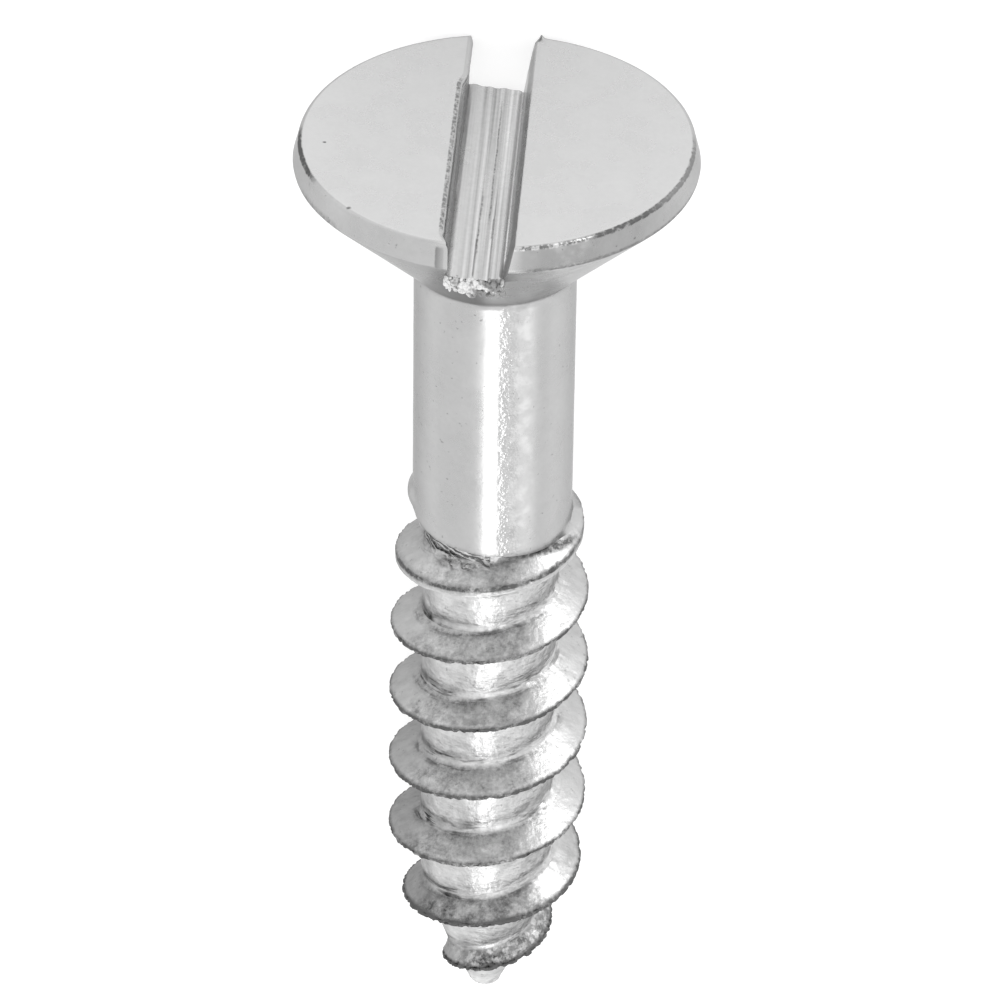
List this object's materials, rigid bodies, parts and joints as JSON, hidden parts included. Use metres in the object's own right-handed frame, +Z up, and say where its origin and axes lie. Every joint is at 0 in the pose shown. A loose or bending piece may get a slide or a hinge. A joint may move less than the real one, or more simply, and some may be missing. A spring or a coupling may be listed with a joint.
{
  "type": "flat head wood screw",
  "caption": "One-piece slotted flat head wood screw with a countersunk cone, a plain shank, a coarse right-hand thread and a blunt tapered point.",
  "frame": {"origin": "on the table, under the middle of the lying screw's bounding box", "axes": "+Z up from the table; +Y along the lying screw from its head to its point; +X across it. The axis leans 6 degrees down towards the point."},
  "size_m": [0.0094, 0.0256, 0.0093],
  "materials": {
    "plated_steel": "satin zinc-plated steel, neutral grey, with fine mottling and rough thread crests"
  },
  "bodies": {
    "root": {"screw": "plated_steel"}
  },
  "joints": []
}
